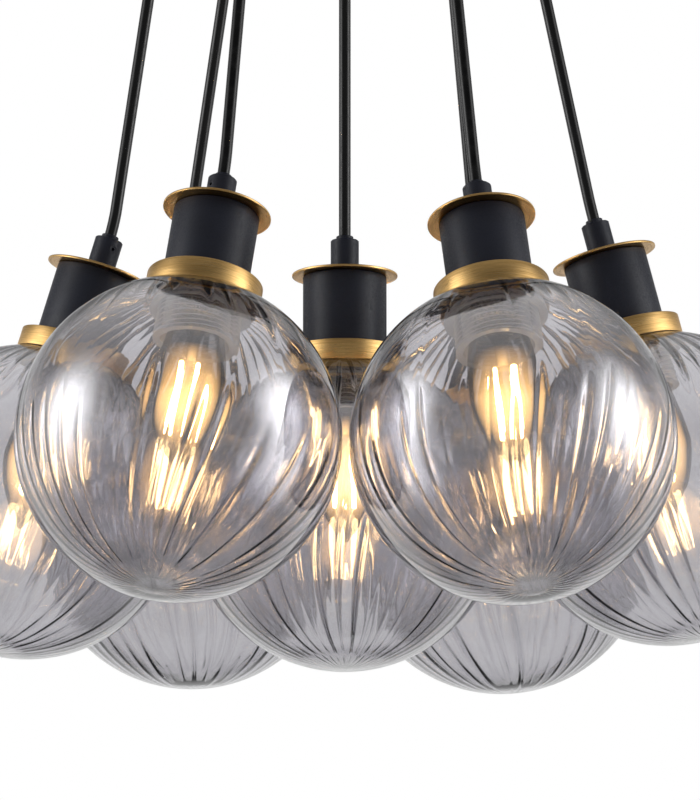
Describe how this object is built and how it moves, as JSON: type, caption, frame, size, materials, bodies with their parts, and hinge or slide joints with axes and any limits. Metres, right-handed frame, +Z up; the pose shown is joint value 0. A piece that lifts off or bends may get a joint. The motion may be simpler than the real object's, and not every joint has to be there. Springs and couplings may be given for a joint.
{
  "type": "cluster pendant",
  "caption": "Cluster of smoke glass globe lamps with brass and black fittings, hung on black cords from a round ceiling canopy.",
  "frame": {"origin": "centre of the mounting bar's top face, which lies against the ceiling", "axes": "+Z up into the ceiling, -Y towards the front of the cluster as pictured, +X to its right; the mounting bar lies along X"},
  "size_m": [0.4538, 0.4129, 0.413],
  "materials": {
    "smoke_glass": "smoke-tinted blown glass, glossy, with fine upright ribs",
    "brushed_brass": "turned and brushed brass, lacquered",
    "black_metal": "matt black powder coat",
    "clear_plastic": "clear moulded polycarbonate, threaded",
    "holder_plastic": "black moulded phenolic",
    "bulb_glass": "clear blown glass",
    "filament": "glowing warm white filament",
    "nickel_plate": "nickel-plated steel and brass",
    "black_pvc": "smooth extruded black PVC",
    "black_plastic": "moulded black nylon",
    "zinc_steel": "zinc-plated pressed steel",
    "white_plastic": "moulded off-white nylon"
  },
  "bodies": {
    "canopy": {"canopy_cover": "black_metal", "mounting_bracket": "zinc_steel", "cord_glands": "black_plastic", "terminal_block": "white_plastic"},
    "centre_lamp": {"centre_globe": "smoke_glass", "centre_collar": "brushed_brass", "centre_holder_cup": "black_metal", "centre_disc": "brushed_brass", "centre_cord_grip": "black_metal", "centre_lampholder": "clear_plastic", "centre_bulb": "bulb_glass", "centre_cord": "black_pvc"},
    "right_lamp": {"right_globe": "smoke_glass", "right_collar": "brushed_brass", "right_holder_cup": "black_metal", "right_disc": "brushed_brass", "right_cord_grip": "black_metal", "right_lampholder": "clear_plastic", "right_bulb": "bulb_glass", "right_cord": "black_pvc"},
    "back_right_lamp": {"back_right_globe": "smoke_glass", "back_right_collar": "brushed_brass", "back_right_holder_cup": "black_metal", "back_right_disc": "brushed_brass", "back_right_cord_grip": "black_metal", "back_right_lampholder": "clear_plastic", "back_right_bulb": "bulb_glass", "back_right_cord": "black_pvc"},
    "back_left_lamp": {"back_left_globe": "smoke_glass", "back_left_collar": "brushed_brass", "back_left_holder_cup": "black_metal", "back_left_disc": "brushed_brass", "back_left_cord_grip": "black_metal", "back_left_lampholder": "clear_plastic", "back_left_bulb": "bulb_glass", "back_left_cord": "black_pvc"},
    "left_lamp": {"left_globe": "smoke_glass", "left_collar": "brushed_brass", "left_holder_cup": "black_metal", "left_disc": "brushed_brass", "left_cord_grip": "black_metal", "left_lampholder": "clear_plastic", "left_bulb": "bulb_glass", "left_cord": "black_pvc"},
    "front_left_lamp": {"front_left_globe": "smoke_glass", "front_left_collar": "brushed_brass", "front_left_holder_cup": "black_metal", "front_left_disc": "brushed_brass", "front_left_cord_grip": "black_metal", "front_left_lampholder": "clear_plastic", "front_left_bulb": "bulb_glass", "front_left_cord": "black_pvc"},
    "front_right_lamp": {"front_right_globe": "smoke_glass", "front_right_collar": "brushed_brass", "front_right_holder_cup": "black_metal", "front_right_disc": "brushed_brass", "front_right_cord_grip": "black_metal", "front_right_lampholder": "clear_plastic", "front_right_bulb": "bulb_glass", "front_right_cord": "black_pvc"}
  },
  "joints": [
    {"name": "centre_turn", "type": "hinge", "parent": "canopy", "child": "centre_lamp", "pos_m": [0, 0, -0.037], "axis": [0, 0, 1], "range_deg": [-90, 90]},
    {"name": "right_swing", "type": "hinge", "parent": "canopy", "child": "right_lamp", "pos_m": [0.09, 0, -0.037], "axis": [0, -1, 0], "range_deg": [0, 40]},
    {"name": "back_right_swing", "type": "hinge", "parent": "canopy", "child": "back_right_lamp", "pos_m": [0.0529, 0.07281, -0.037], "axis": [0.809, -0.5878, 0], "range_deg": [0, 40]},
    {"name": "back_left_swing", "type": "hinge", "parent": "canopy", "child": "back_left_lamp", "pos_m": [-0.05785, 0.06894, -0.037], "axis": [0.766, 0.6428, 0], "range_deg": [0, 40]},
    {"name": "left_swing", "type": "hinge", "parent": "canopy", "child": "left_lamp", "pos_m": [-0.09, 0, -0.037], "axis": [0, 1, 0], "range_deg": [0, 40]},
    {"name": "front_left_swing", "type": "hinge", "parent": "canopy", "child": "front_left_lamp", "pos_m": [-0.045, -0.07794, -0.037], "axis": [-0.866, 0.5, 0], "range_deg": [0, 40]},
    {"name": "front_right_swing", "type": "hinge", "parent": "canopy", "child": "front_right_lamp", "pos_m": [0.04769, -0.07632, -0.037], "axis": [-0.848, -0.5299, 0], "range_deg": [0, 40]}
  ]
}
